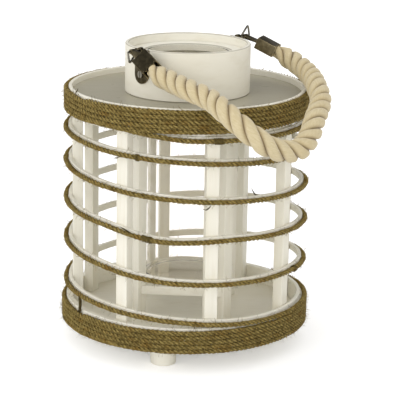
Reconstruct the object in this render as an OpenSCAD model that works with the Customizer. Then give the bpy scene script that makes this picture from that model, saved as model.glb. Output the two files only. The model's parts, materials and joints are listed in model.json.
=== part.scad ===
// Round hanging lantern: a drum of slats between two jute-bound hoops, a spiral lath with twine,
// a glass cylinder on an inner frame, a collar on the lid and a rope handle that folds down.
// Millimetres, +Z up. The origin is on the ground under the middle of the drum. The front faces -Y.
// Azimuths are degrees from the front, positive towards +X.

/* [Drum] */
// Inner radius of both hoops, where the slats' outer faces stand
drum_r = 109.5; // [100:0.5:125]
// Height from the underside of the base to the top edge of the lid's hoop
drum_h = 230; // [215:1:280]
// Thickness of the base disc
base_t = 9; // [6:0.5:14]
// Thickness of the lid disc
lid_t = 8; // [5:0.5:12]
// Depth of the lid disc's top below the edge of its hoop
lid_drop = 5.5; // [3:0.5:9]
// Height of both hoops
hoop_h = 24.5; // [23.5:0.5:32]
// Thickness of the base hoop
base_hoop_t = 6; // [4:0.5:10]
// Thickness of the lid's hoop
top_hoop_t = 3.5; // [3:0.5:8]

/* [Jute] */
// Diameter of the twine
twine_d = 4.5; // [3:0.1:4.6]
// Rows of twine in each band
band_rows = 5; // [3:1:5]
// Depth that one row beds into the next
row_bed = 0.1; // [0.05:0.05:0.4]
// Height of the lowest row's underside above the hoop's lower edge
band_lift = 0.6; // [0:0.1:1]

/* [Feet] */
// Height of the feet
foot_h = 19; // [12:1:40]
// Diameter of a foot where it meets the base
foot_d = 26; // [18:1:34]
// Diameter of a foot at the ground
foot_tip_d = 24; // [14:1:34]
// Distance of each foot's middle inwards from the drum's edge
foot_inset = 21.5; // [16.5:0.5:40]
// Azimuth of the first foot
foot_az = -12; // [-60:1:60]
// Diameter of the dowel between foot and base
dowel_d = 8; // [5:0.5:12]
// Depth of the dowel in the foot
dowel_in_foot = 10; // [6:0.5:11]
// Depth of the dowel in the base disc
dowel_in_base = 5; // [3:0.5:5.5]

/* [Slats] */
// Width of an outer slat
slat_w = 12; // [8:0.5:20]
// Radial thickness of an outer slat
slat_t = 10; // [9:0.5:14]
// Azimuth of the even place of the second slat, the one right of the front
slat_az = 11.5; // [0:0.5:22]

/* [Spiral] */
// Height of the lath
lath_h = 6; // [5.5:0.5:12]
// Radial thickness of the lath
lath_t = 3.4; // [3:0.1:6]
// Room between the slats and the lath's straight facets
lath_gap = 0.3; // [0.28:0.02:0.5]
// Height of the twine's middle above the lath's lower edge
twine_lift = 2.25; // [1.5:0.05:4]

/* [Inner frame] */
// Side of a square inner post
post_w = 10; // [7:0.5:13]
// Distance of each post's middle from the drum's axis
post_r = 58; // [55:0.5:70]
// Azimuth of the right front post
post_az = 41.5; // [20:0.5:60]
// Height of a rail
rail_h = 8.5; // [6:0.5:20]
// Thickness of a rail
rail_t = 9; // [7:0.5:10]
// Space between the base disc and a rail
rail_gap = 24.5; // [0:0.5:40]

/* [Glass] */
// Outer radius of the glass cylinder
glass_r = 41.7; // [40:0.1:42.5]
// Thickness of the glass wall
glass_wall = 2.5; // [1.5:0.1:4]
// Thickness of the glass floor
glass_floor = 4.5; // [3:0.5:12]
// Distance of the glass's top edge below the ledge's top face
glass_below_ledge = 1; // [0.5:0.5:5]
// Room all round the glass where it passes the lid and the ledge
glass_room = 0.8; // [0.4:0.1:2]

/* [Collar] */
// Outer radius of the collar
collar_r = 59.5; // [54:0.5:61]
// Thickness of the collar's wall
collar_wall = 3.5; // [2.5:0.1:6]
// Height of the collar's edge above the hoop's top edge
collar_rise = 41; // [38:1:50]
// Depth of the ledge below the collar's edge
ledge_drop = 8.2; // [4:0.2:14]
// Thickness of the ledge
ledge_t = 8; // [4:0.5:12]

/* [Handle hardware] */
// Azimuth towards which the handle folds down
fold_az = 42; // [20:1:60]
// Distance of the hinge axis from the drum's axis, towards the fold
bail_offset = 3.3; // [0:0.1:5]
// Depth of the hinge axis below the collar's edge
bail_drop = 1; // [0:0.5:3]
// Width of a bracket's plate
plate_w = 18; // [12:0.5:22]
// Height of a bracket's plate
plate_h = 32.5; // [26:0.5:36]
// Thickness of a bracket's plate
plate_t = 1.4; // [1:0.1:2]
// Outer radius of a bracket's eye
eye_r = 3; // [2.4:0.1:3.6]
// Length of a bracket's eye, out from the collar
eye_len = 3.6; // [2.5:0.1:4]
// Radius of a bracket screw's shank
screw_r = 1.5; // [1:0.1:2]
// Distance between the two screws of a bracket
screw_gap = 10; // [7:0.5:11]
// Radius of a bracket screw's head
screw_head_r = 3.2; // [2.4:0.1:4]
// Thickness of a bracket screw's head
screw_head_t = 1.4; // [1:0.1:2]
// Radius of the link's wire
wire_r = 0.95; // [0.7:0.05:1.2]
// Radial room of the wire in the eye and in the clamp's loop
pin_room = 0.05; // [0.02:0.01:0.1]
// Length of the link's straight side outside the eye
link_base = 11.5; // [10.5:0.5:14]
// Height of the link's free corner above that side
link_h = 11; // [8:0.5:12]
// Length of a rope clamp
clamp_len = 20; // [16:0.5:22]
// Width of a rope clamp
clamp_w = 17; // [14:0.5:18]
// Thickness of a rope clamp
clamp_h = 11; // [9:0.5:13]
// Thickness of the clamp's sheet
sheet_t = 1.2; // [0.8:0.1:1.6]
// Diameter of the handle's rope
rope_d = 20; // [16:0.5:21]

/* [Hidden] */
$fn = 96;
cut = 1;                                     // how far a cutting shape runs past the face it opens
slat_count = 8;
// Degrees by which each slat stands off its even place
slat_shifts = [1.5, 2, 4.5, 10.5, 1.5, 2.5, 8, -5.5];
post_count = 4;
foot_count = 3;
foot_r = drum_r - foot_inset;
base_z = foot_h;                             // underside of the base disc
floor_z = base_z + base_t;
rim_z = base_z + drum_h;                     // top edge of the lid's hoop
lid_z = rim_z - lid_drop - lid_t;            // underside of the lid disc
lid_top = rim_z - lid_drop;
top_hoop_z = rim_z - hoop_h;
band_h = twine_d + (band_rows - 1) * (twine_d - row_bed);
top_band_z = rim_z - band_lift - band_h;
base_band_z = base_z + band_lift;
rail_z = floor_z + rail_gap;
glass_z = rail_z + rail_h;
collar_top = rim_z + collar_rise;
ledge_top = collar_top - ledge_drop;
glass_top = ledge_top - glass_below_ledge;
glass_hole_r = glass_r + glass_room;

// Hoop and lath nails
nail_r = 0.7;
nail_depth = 7;
nail_shelf = 5.5;                            // from a hoop's inner edge to its nails

// The spiral: its nails stand at every slat, and it is built in straight facets
facet = 7.5;
lath_in = drum_r + lath_gap;
lath_out = lath_in + lath_t;
twine_bed = 0.3;                             // facets of the twine stay outside the lath by this
twine_r = lath_out + twine_bed + twine_d / 2;
start_az = -22;
end_az = 1915;
turn = 360;
full_turns = 5;
// How far the twine is below the rim, as a share of the drum's height, at these azimuths each time
// that it passes the front. It is nearly level to the right and steps down at the left front
pass_az = [-80, -60, -45, -30, -15, 0, 20, 40, 60, 80];
pass_drops = [
    [0.035, 0.058, 0.075, 0.092, 0.109, 0.126, 0.127, 0.129, 0.13, 0.132],
    [0.175, 0.18, 0.19, 0.198, 0.206, 0.212, 0.221, 0.231, 0.234, 0.237],
    [0.314, 0.325, 0.335, 0.348, 0.357, 0.367, 0.376, 0.383, 0.391, 0.391],
    [0.475, 0.488, 0.492, 0.51, 0.537, 0.539, 0.531, 0.538, 0.543, 0.547],
    [0.647, 0.659, 0.668, 0.684, 0.701, 0.709, 0.715, 0.719, 0.719, 0.723],
    [0.831, 0.835, 0.841, 0.85, 0.86, 0.87, 0.883, 0.888, 0.888, 0.889]
];
end_drop = 0.898;
twine_fall = concat(
    [for (k = [0 : full_turns], i = [0 : len(pass_az) - 1]) [k * turn + pass_az[i], pass_drops[k][i]]],
    [[end_az, end_drop]]
);
// Share of the way out onto the base hoop's face in the last part turn
onto_hoop = [[0, 0], [30, 1]];

function twine_z(a) = rim_z - lookup(a, twine_fall) * drum_h;
hoop_room = 0.1;
hoop_face_r = drum_r + base_hoop_t + hoop_room;
step_out = max(0, hoop_face_r + twine_d / 2 - twine_r);
function twine_out(a) = twine_r + step_out * lookup(a - full_turns * turn, onto_hoop);
function lath_low(a) = max(twine_z(a) - twine_lift, base_z + hoop_h + hoop_room);
function lath_high(a) = min(twine_z(a) - twine_lift + lath_h, top_hoop_z - hoop_room);

// The rope's route in the handle's frame, from the front clamp to the rear clamp:
// along the hinge axis, out towards the fold, and up from the rim
route = [
    [-71, 32, 27], [-71, 60, 20], [-74, 89, 17], [-74, 115, 13], [-79, 141, 6],
    [-72, 165, -9], [-55, 175, -22], [-30, 177, -27], [-10, 172, -21], [10, 160, -9],
    [40, 138, 1], [57, 116, 9], [77, 88, 13], [91, 56, 18], [86, 32, 28]
];
rope_sides = 12;
rope_steps = 3;
front_dir = [-1, 18, -9];                    // the way the rope leaves the front clamp
rear_dir = [10, 18, -9];                     // and the rear clamp
front_roll = 52;
rear_roll = 0;
clamp_loop = 5.5;                            // width of the clamp's loop on the link
loop_r = 2.3;
strap_t = 1.6;
strap_w = 9;
strap_in = 0.3;                              // the strap is this much narrower than its loop at each side
tooth = 2;
tooth_count = 4;
bail_z = collar_top - bail_drop;
stub_room = 0.6;                             // between the link's inner end and the collar
link_gap = 1;                                // between the eye and the link's wire
link_lean = 2;                               // how far the link's free corner leans back to the collar
screw_slot = 0.8;
screw_room = 0.2;
eye_end = collar_r + eye_len;
link_in = eye_end + link_gap + wire_r;
link_out = link_in + link_base;
loop_x = link_in + (link_base - clamp_loop) / 2;
// The route's points are chosen for loops this far from the drum's axis, and spread with them
route_loops = 70.8;
spread = (loop_x + clamp_loop / 2) / route_loops;

// --- helpers ---

// Puts children at an azimuth and a radius, facing outward along -Y
module at(az, r = 0, z = 0) rotate([0, 0, az]) translate([0, -r, z]) children();

// A flat ring with a true bore
module ring(r_in, r_out, h) {
    difference() {
        cylinder(r = r_out, h = h);
        translate([0, 0, -cut]) cylinder(r = r_in, h = h + 2 * cut);
    }
}

// A rod from one point to another, with round ends
module rod(a, b, r) {
    d = b - a;
    translate(a) sphere(r = r);
    translate(b) sphere(r = r);
    translate(a) rotate([0, acos(d.z / norm(d)), atan2(d.y, d.x)]) cylinder(r = r, h = norm(d));
}

// Joins rings of points into one closed solid with flat ends
module skin(rings) {
    n = len(rings);
    m = len(rings[0]);
    sides = [for (i = [0 : n - 2], j = [0 : m - 1]) each
        [[i * m + j, i * m + (j + 1) % m, (i + 1) * m + j],
         [i * m + (j + 1) % m, (i + 1) * m + (j + 1) % m, (i + 1) * m + j]]];
    low_end = [for (j = [m - 1 : -1 : 0]) j];
    high_end = [for (j = [0 : m - 1]) (n - 1) * m + j];
    polyhedron([for (r = rings) each r], concat(sides, [low_end, high_end]));
}

function polar(a, r, z) = [r * sin(a), -r * cos(a), z];
function steps(a, b) = [for (i = [0 : ceil((b - a) / facet)]) min(a + i * facet, b)];

// --- base ---

module base_disc() color("#d9d2c2") {
    difference() {
        translate([0, 0, base_z]) cylinder(r = drum_r, h = base_t);
        for (i = [0 : foot_count - 1])
            at(foot_az + i * turn / foot_count, foot_r, base_z - cut)
                cylinder(d = dowel_d, h = dowel_in_base + cut);
    }
}

module hoop(thick) ring(drum_r, drum_r + thick, hoop_h);

// Rows of twine in one solid, with a thin backing that closes the valleys against the hoop
module jute_band(hoop_out) {
    rotate_extrude() {
        for (i = [0 : band_rows - 1])
            translate([hoop_out + twine_d / 2, twine_d / 2 + i * (twine_d - row_bed)])
                circle(d = twine_d);
        translate([hoop_out, twine_d / 4]) square([twine_d / 2, band_h - twine_d / 2]);
    }
}

module base_hoop() color("#e9e4d6") translate([0, 0, base_z]) hoop(base_hoop_t);
module base_jute_band() color("#7c662f") translate([0, 0, base_band_z]) jute_band(drum_r + base_hoop_t);

module foot(i) color("#e9e4d6") {
    at(foot_az + (i - 1) * turn / foot_count, foot_r) difference() {
        cylinder(d1 = foot_tip_d, d2 = foot_d, h = foot_h);
        translate([0, 0, foot_h - dowel_in_foot]) cylinder(d = dowel_d, h = dowel_in_foot + cut);
    }
}

module foot_dowels() color("#c9a877") {
    for (i = [0 : foot_count - 1])
        at(foot_az + i * turn / foot_count, foot_r, foot_h - dowel_in_foot)
            cylinder(d = dowel_d, h = dowel_in_foot + dowel_in_base);
}

// --- slats and nails ---

function slat_azimuth(i) = slat_az + (i - 2) * turn / slat_count + slat_shifts[i - 1];

module slat(i) color("#ece7da") {
    intersection() {
        at(slat_azimuth(i), 0, floor_z) translate([-slat_w / 2, -drum_r - cut, 0])
            cube([slat_w, slat_t + cut, lid_z - floor_z]);
        cylinder(r = drum_r, h = rim_z);
    }
}

module nail(az, r_out, z) {
    at(az, r_out, z) rotate([-90, 0, 0]) cylinder(r = nail_r, h = r_out - drum_r + nail_depth, $fn = 24);
}

module base_hoop_nails() color("#b9b7b0") {
    for (i = [1 : slat_count])
        nail(slat_azimuth(i), drum_r + base_hoop_t, base_z + hoop_h - nail_shelf);
}

module top_hoop_nails() color("#b9b7b0") {
    for (i = [1 : slat_count])
        nail(slat_azimuth(i), drum_r + top_hoop_t, top_hoop_z + nail_shelf);
}

// --- inner frame and glass ---

function post_azimuth(i) = post_az + (i - 1) * turn / post_count;

module post_bar(i) at(post_azimuth(i), post_r, floor_z)
    translate([-post_w / 2, -post_w / 2, 0]) cube([post_w, post_w, lid_z - floor_z]);

module post(i) color("#ebe6d8") post_bar(i);

// A wedge between two azimuths
module wedge(from_az, to_az, r, h) {
    middle = (from_az + to_az) / 2;
    linear_extrude(h) polygon([[0, 0], for (a = [from_az, middle, to_az]) [r * sin(a), -r * cos(a)]]);
}

// A rail runs from post to post, is notched round both and mitred where it meets its neighbours
module rail(i) color("#e4decf") {
    half = turn / post_count / 2;
    half_len = post_r * sin(half);
    difference() {
        intersection() {
            at(post_azimuth(i) + half, post_r * cos(half), rail_z)
                translate([-half_len, -rail_t / 2, 0]) cube([2 * half_len, rail_t, rail_h]);
            wedge(post_azimuth(i), post_azimuth(i + 1), 2 * post_r, rim_z);
        }
        post_bar(i);
        post_bar(i + 1);
    }
}

module glass_cylinder() color("#cfdad8", 0.35) {
    difference() {
        translate([0, 0, glass_z]) cylinder(r = glass_r, h = glass_top - glass_z);
        translate([0, 0, glass_z + glass_floor])
            cylinder(r = glass_r - glass_wall, h = glass_top - glass_z);
    }
}

// --- lid ---

module lid_disc() color("#d6d2cb") translate([0, 0, lid_z]) ring(glass_hole_r, drum_r, lid_t);
module top_hoop() color("#efeade") translate([0, 0, top_hoop_z]) hoop(top_hoop_t);
module top_jute_band() color("#7c662f") translate([0, 0, top_band_z]) jute_band(drum_r + top_hoop_t);

// --- spiral ---

function lath_section(a) = [
    polar(a, lath_in, lath_low(a)), polar(a, lath_in, lath_high(a)),
    polar(a, lath_out, lath_high(a)), polar(a, lath_out, lath_low(a))
];

module lath(a, b) color("#efeade") skin([for (t = steps(a, b)) lath_section(t)]);
module lath_turn(i) lath(start_az + (i - 1) * turn, start_az + i * turn);

// One nail wherever the lath crosses a slat
module lath_nails() color("#b9b7b0") {
    for (i = [1 : slat_count], k = [0 : full_turns]) {
        az = slat_azimuth(i) + (slat_azimuth(i) < start_az ? turn : 0) + k * turn;
        if (az < end_az) nail(az, lath_out - lath_gap, (lath_low(az) + lath_high(az)) / 2);
    }
}

twine_sides = 6;
function twine_point(a, t) =
    polar(a, twine_out(a) + twine_d / 2 * cos(t), twine_z(a) - twine_d / 2 * sin(t));
function twine_section(a) = [for (j = [0 : twine_sides - 1]) twine_point(a, j * turn / twine_sides)];

module spiral_twine() color("#7c662f") skin([for (t = steps(start_az, end_az)) twine_section(t)]);

// Azimuth, width in degrees and thickness of each splice in the twine
splices = [[15, 7, 6.4], [338, 4, 6.2], [1063, 6, 6.4], [1504, 3, 6]];

module splice(az, width, thick) {
    rotate([0, 0, az - 90 - width / 2]) translate([0, 0, twine_z(az)])
        rotate_extrude(angle = width) translate([lath_out + thick / 2, 0]) circle(d = thick, $fn = 24);
}

module twine_splices() color("#4c3d1a") {
    for (s = splices)
        splice(s[0], s[1], s[2]);
}

tie_az = 1743;
tie_d = 3;

// A strand that hangs from the last turn and is tucked into the base band
module twine_tie() color("#7c662f") {
    foot_of_tie = base_band_z + band_h - twine_d / 2;
    at(tie_az, hoop_face_r + tie_d / 2, foot_of_tie)
        cylinder(d = tie_d, h = twine_z(tie_az) - foot_of_tie, $fn = 24);
}

// --- collar ---

module bail() rotate([0, 0, fold_az]) translate([0, -bail_offset, 0]) children();

// side is -1 for the front left bracket and 1 for the rear right one
module along(side, x, z) translate([side * x, 0, z]) rotate([0, side * 90, 0]) children();

collar_in = collar_r - collar_wall;
low_screw_z = collar_top - plate_h + plate_w / 2;
screw_zs = [low_screw_z, low_screw_z + screw_gap];

module collar() color("#efe9dc") {
    difference() {
        translate([0, 0, lid_top]) ring(collar_in, collar_r, collar_top - lid_top);
        bail() for (side = [-1, 1], z = screw_zs)
            along(side, collar_in - cut, z) cylinder(r = screw_r, h = collar_wall + 2 * cut);
    }
}

module collar_ledge() color("#e6dfd0") {
    translate([0, 0, ledge_top - ledge_t]) ring(glass_hole_r, collar_in, ledge_t);
}

// --- handle hardware ---

// A plate bent to the collar, with a round lower end, and the eye that the link turns in
module bracket_shape() {
    low = collar_top - plate_h;
    difference() {
        union() {
            intersection() {
                translate([0, 0, low]) ring(collar_r, collar_r + plate_t, plate_h);
                translate([0, -bail_offset, 0]) {
                    translate([collar_r, 0, low + plate_w / 2 + plate_h / 2])
                        cube([collar_r, plate_w, plate_h], center = true);
                    along(1, collar_r / 2, low + plate_w / 2) cylinder(r = plate_w / 2, h = collar_r);
                }
            }
            translate([0, -bail_offset, 0]) along(1, collar_r, bail_z) cylinder(r = eye_r, h = eye_len);
        }
        translate([0, -bail_offset, 0]) {
            along(1, collar_r - cut, bail_z) cylinder(r = wire_r + pin_room, h = eye_len + 2 * cut);
            for (z = screw_zs)
                along(1, collar_r - cut, z) cylinder(r = screw_r + screw_room, h = plate_t + 2 * cut);
        }
    }
}

module bracket(side) color("#57534b")
    rotate([0, 0, fold_az]) mirror([side < 0 ? 1 : 0, 0, 0]) bracket_shape();

module bracket_screws() color("#6b665d") {
    bail() for (side = [-1, 1], z = screw_zs) {
        along(side, collar_in, z) cylinder(r = screw_r, h = collar_wall + plate_t);
        along(side, collar_r + plate_t, z) difference() {
            cylinder(r = screw_head_r, h = screw_head_t);
            translate([-screw_head_r, -screw_slot / 2, screw_head_t / 2])
                cube([2 * screw_head_r, screw_slot, screw_head_t]);
        }
    }
}

// A triangle of wire whose straight side is the hinge pin; its free corner points up or down
module link(side, up) color("#8b8478") {
    corner = [side * (link_out - link_lean), 0, up * link_h];
    bail() translate([0, 0, bail_z]) {
        rod([side * (collar_r + stub_room + wire_r), 0, 0], [side * link_out, 0, 0], wire_r, $fn = 32);
        rod([side * link_out, 0, 0], corner, wire_r, $fn = 32);
        rod(corner, [side * link_in, 0, 0], wire_r, $fn = 32);
    }
}

// The clamp's frame: its mouth at the rope's end, +X the way the rope leaves
module clamp_frame(end, dir, roll) {
    climb = atan2(dir.z, norm([dir.x, dir.y]));
    rotate([0, 0, fold_az]) translate([spread * end.x, -end.y, rim_z + end.z])
        rotate([0, 0, atan2(-dir.y, dir.x)]) rotate([0, -climb, 0]) rotate([roll, 0, 0]) children();
}

// The clamp's outline, narrower and lower by a wall on each side
module clamp_block(wall) {
    translate([-clamp_len, wall - clamp_w / 2, wall - clamp_h / 2])
        cube([clamp_len, clamp_w - 2 * wall, clamp_h - 2 * wall]);
}

// The gaps between the teeth of its mouth
module clamp_teeth() {
    pitch = clamp_w / tooth_count;
    for (i = [0.5 : tooth_count - 0.5])
        translate([0, i * pitch - clamp_w / 2, -clamp_h / 2 - cut])
            linear_extrude(clamp_h + 2 * cut) polygon([[cut, -tooth], [cut, tooth], [-tooth, 0]]);
}

// A box folded from sheet, open towards the rope, with teeth round its mouth
module clamp(side, end, dir, roll) color("#4e4a42") {
    difference() {
        union() {
            clamp_frame(end, dir, roll) difference() {
                clamp_block(0);
                translate([sheet_t, 0, 0]) clamp_block(sheet_t);
                clamp_teeth();
            }
            hull() {
                clamp_frame(end, dir, roll)
                    translate([sheet_t / 4 - clamp_len, -strap_w / 2, -strap_t / 2])
                        cube([sheet_t / 2, strap_w, strap_t]);
                bail() along(side, loop_x + strap_in, bail_z)
                    cylinder(r = strap_t / 2 + wire_r, h = clamp_loop - 2 * strap_in, $fn = 24);
            }
            bail() along(side, loop_x, bail_z) cylinder(r = loop_r, h = clamp_loop);
        }
        bail() along(side, loop_x - cut, bail_z) cylinder(r = wire_r + pin_room, h = clamp_loop + 2 * cut);
    }
}

// --- rope ---

function heading(i) =
    i == 0 ? front_dir * norm(route[1] - route[0]) / norm(front_dir) :
    i == len(route) - 1 ? -rear_dir * norm(route[i] - route[i - 1]) / norm(rear_dir) :
    (route[i + 1] - route[i - 1]) / 2;
function between(i, t) =
    (2 * t ^ 3 - 3 * t ^ 2 + 1) * route[i] + (t ^ 3 - 2 * t ^ 2 + t) * heading(i) +
    (3 * t ^ 2 - 2 * t ^ 3) * route[i + 1] + (t ^ 3 - t ^ 2) * heading(i + 1);
function slope(i, t) =
    (6 * t ^ 2 - 6 * t) * route[i] + (3 * t ^ 2 - 4 * t + 1) * heading(i) +
    (6 * t - 6 * t ^ 2) * route[i + 1] + (3 * t ^ 2 - 2 * t) * heading(i + 1);
function unit(v) = v / norm(v);
// A round section across the rope; out is measured along -Y in the handle's frame
function rope_ring(p, d) =
    let (
        centre = [spread * p.x, -p.y, rim_z + p.z],
        ahead = unit([spread * d.x, -d.y, d.z]),
        level = unit(cross(ahead, [0, 0, 1])),
        up = cross(level, ahead)
    )
    [for (j = [0 : rope_sides - 1])
        let (t = j * turn / rope_sides)
        centre - rope_d / 2 * (cos(t) * level + sin(t) * up)];
last_span = len(route) - 2;
rope_rings = [
    for (i = [0 : last_span], k = [0 : rope_steps - 1])
        rope_ring(between(i, k / rope_steps), slope(i, k / rope_steps)),
    rope_ring(between(last_span, 1), slope(last_span, 1))
];

// The rope's flattened end, which fills the clamp
module rope_tail() {
    intersection() {
        clamp_block(sheet_t);
        translate([sheet_t, 0, 0]) clamp_block(0);
    }
}

module handle_rope() color("#d8caa2") {
    rotate([0, 0, fold_az]) skin(rope_rings);
    clamp_frame(route[0], front_dir, front_roll) rope_tail();
    clamp_frame(route[len(route) - 1], rear_dir, rear_roll) rope_tail();
}

base_disc();
base_hoop();
base_jute_band();
foot(1);  // foot_1
foot(2);  // foot_2
foot(3);  // foot_3
foot_dowels();
slat(1);  // slat_1
slat(2);  // slat_2
slat(3);  // slat_3
slat(4);  // slat_4
slat(5);  // slat_5
slat(6);  // slat_6
slat(7);  // slat_7
slat(8);  // slat_8
base_hoop_nails();
top_hoop_nails();
post(1);  // post_1
post(2);  // post_2
post(3);  // post_3
post(4);  // post_4
rail(1);  // rail_1
rail(2);  // rail_2
rail(3);  // rail_3
rail(4);  // rail_4
glass_cylinder();
lid_disc();
top_hoop();
top_jute_band();
lath_turn(1);  // lath_turn_1
lath_turn(2);  // lath_turn_2
lath_turn(3);  // lath_turn_3
lath_turn(4);  // lath_turn_4
lath_turn(5);  // lath_turn_5
lath(start_az + 5 * turn, end_az);  // lath_tail
lath_nails();
spiral_twine();
twine_splices();
twine_tie();
collar();
collar_ledge();
bracket(-1);  // bracket_front
bracket(1);  // bracket_rear
bracket_screws();
link(-1, -1);  // link_front
link(1, 1);  // link_rear
clamp(-1, route[0], front_dir, front_roll);  // clamp_front
clamp(1, route[len(route) - 1], rear_dir, rear_roll);  // clamp_rear
handle_rope();
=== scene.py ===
"""Dresses the round hanging lantern: painted wood, wound jute, glass, hardware and the rope handle."""

import functools
import json
import math

import bmesh
import bpy
from mathutils import Matrix, Vector


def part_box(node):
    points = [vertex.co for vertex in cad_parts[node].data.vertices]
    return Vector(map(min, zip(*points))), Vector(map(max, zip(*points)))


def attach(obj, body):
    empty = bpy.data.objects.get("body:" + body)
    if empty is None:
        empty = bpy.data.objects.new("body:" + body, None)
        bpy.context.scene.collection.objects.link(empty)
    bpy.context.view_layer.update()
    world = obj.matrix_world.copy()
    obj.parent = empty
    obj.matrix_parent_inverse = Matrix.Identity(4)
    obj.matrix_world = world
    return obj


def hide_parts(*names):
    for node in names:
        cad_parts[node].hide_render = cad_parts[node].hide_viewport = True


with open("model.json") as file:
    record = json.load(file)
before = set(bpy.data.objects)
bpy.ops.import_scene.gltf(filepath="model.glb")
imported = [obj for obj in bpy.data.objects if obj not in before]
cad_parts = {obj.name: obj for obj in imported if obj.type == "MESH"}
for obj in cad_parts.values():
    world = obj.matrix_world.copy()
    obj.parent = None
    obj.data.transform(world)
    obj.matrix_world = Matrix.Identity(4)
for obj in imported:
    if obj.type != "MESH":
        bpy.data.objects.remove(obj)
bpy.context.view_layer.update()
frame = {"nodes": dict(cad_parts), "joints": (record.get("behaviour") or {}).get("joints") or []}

bl_info = {
    "name": "Rope-handled slat lantern",
    "version": (1, 0, 0),
    "blender": (4, 5, 0),
    "location": "3D View > Sidebar > Lantern",
    "description": "Makes the finished pieces of a round slatted lantern around its packed frame",
    "category": "Object",
}

# --- sizes read from the frame, in metres ---

MM = 0.001
TURN = 360


@functools.cache
def box_of(node):
    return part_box(node)


def low(node):
    return box_of(node)[0]


def high(node):
    return box_of(node)[1]


BASE_Z = low("base_disc").z
FLOOR_Z = high("base_disc").z
RIM_Z = high("top_hoop").z
DRUM_H = RIM_Z - BASE_Z
DRUM_R = high("base_disc").x
TOP_HOOP_OUT = high("top_hoop").x
BASE_HOOP_OUT = high("base_hoop").x
COLLAR_OUT = high("collar").x
GLASS_OUT = high("glass_cylinder").x
LATH_GAP, LATH_THICK = 0.3 * MM, 3.4 * MM
LATH_IN = DRUM_R + LATH_GAP
LATH_OUT = LATH_IN + LATH_THICK
COLLAR_WALL = 3.5 * MM
GLASS_WALL = 2.5 * MM
GLASS_FLOOR = 4.5 * MM
GLASS_ROOM = 0.8 * MM

# --- the wound twine ---

BAND_ROWS = 5
TWINE_D = high("top_jute_band").x - TOP_HOOP_OUT
FULL_TURNS = 5
SPIRAL_START = -75
SPIRAL_END = FULL_TURNS * TURN + 132
START_AZ, LATH_END = -22, FULL_TURNS * TURN + 115
# How far the twine is below the rim, as a share of the drum's height, at these azimuths each time
# that it passes the front
PASS_AZ = [-80, -60, -45, -30, -15, 0, 20, 40, 60, 80]
PASS_DROPS = [
    [0.035, 0.058, 0.075, 0.092, 0.109, 0.126, 0.127, 0.129, 0.13, 0.132],
    [0.175, 0.18, 0.19, 0.198, 0.206, 0.212, 0.221, 0.231, 0.234, 0.237],
    [0.314, 0.325, 0.335, 0.348, 0.357, 0.367, 0.376, 0.383, 0.391, 0.391],
    [0.475, 0.488, 0.492, 0.51, 0.537, 0.539, 0.531, 0.538, 0.543, 0.547],
    [0.647, 0.659, 0.668, 0.684, 0.701, 0.709, 0.715, 0.719, 0.719, 0.723],
    [0.831, 0.835, 0.841, 0.85, 0.86, 0.87, 0.883, 0.888, 0.888, 0.889],
]
TWINE_FALL = [(k * TURN + a, d) for k, row in enumerate(PASS_DROPS) for a, d in zip(PASS_AZ, row)]
TWINE_FALL += [(LATH_END, 0.898), (LATH_END + 25, 0.908)]
ONTO_HOOP = [(0, 0), (30, 1)]
TWINE_BED = 0.3 * MM
TWINE_LIFT = 2.25 * MM
LATH_H = 6 * MM
HOOP_ROOM = 0.1 * MM
# Azimuths between which each row of a band steps down to the next
STEP_FROM, STEP_TO = -75, -25

# --- the handle's rope: its route from the front clamp to the rear one ---
# along the hinge, out towards the fold, and up from the rim, in metres

ROPE_D = 0.020
ROUTE = [
    (-0.071, 0.032, 0.027),
    (-0.071, 0.060, 0.020),
    (-0.074, 0.089, 0.017),
    (-0.074, 0.115, 0.013),
    (-0.079, 0.141, 0.006),
    (-0.072, 0.165, -0.009),
    (-0.055, 0.175, -0.022),
    (-0.030, 0.177, -0.027),
    (-0.010, 0.172, -0.021),
    (0.010, 0.160, -0.009),
    (0.040, 0.138, 0.001),
    (0.057, 0.116, 0.009),
    (0.077, 0.088, 0.013),
    (0.091, 0.056, 0.018),
    (0.086, 0.032, 0.028),
]
FRONT_WAY = Vector((-1, 18, -9))
REAR_WAY = Vector((10, 18, -9))

BAIL = next(j for j in frame["joints"] if j["name"] == "handle_fold")
BAIL_POINT = Vector(BAIL["pos_m"])
ALONG = -Vector(BAIL["axis"])
OUT = Vector((ALONG.y, -ALONG.x, 0))


# --- small helpers ---


def azimuth_point(azimuth, radius, z):
    """A point by its azimuth in degrees from the front, its radius and its height."""
    a = math.radians(azimuth)
    return Vector((radius * math.sin(a), -radius * math.cos(a), z))


def lookup(table, x):
    """Straight-line interpolation in a table of pairs, held at both ends."""
    if x <= table[0][0]:
        return table[0][1]
    for (x0, y0), (x1, y1) in zip(table, table[1:]):
        if x <= x1:
            return y0 + (y1 - y0) * (x - x0) / (x1 - x0)
    return table[-1][1]


def smooth(x):
    x = min(max(x, 0), 1)
    return x * x * (3 - 2 * x)


def put(tree, kind, inputs=None, **settings):
    """Adds a node, sets its properties, and gives its inputs a value or a link."""
    made = tree.nodes.new(kind)
    for name, value in settings.items():
        setattr(made, name, value)
    for key, value in (inputs or {}).items():
        socket = made.inputs[key]
        if isinstance(value, bpy.types.NodeSocket):
            tree.links.new(value, socket)
        else:
            socket.default_value = value
    return made


def maths(tree, operation, a, b=0.0, c=0.0):
    """A Math node's result."""
    return field(tree, "ShaderNodeMath", {0: a, 1: b, 2: c}, operation=operation)


def times(tree, a, b):
    return maths(tree, "MULTIPLY", a, b)


def field(tree, kind, inputs=None, **settings):
    """Adds a node and returns its first output."""
    return put(tree, kind, inputs, **settings).outputs[0]


def noise_field(tree, place, scale, detail=2.0, roughness=0.5):
    values = {"Vector": place, "Scale": scale, "Detail": detail, "Roughness": roughness}
    return field(tree, "ShaderNodeTexNoise", values)


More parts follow.
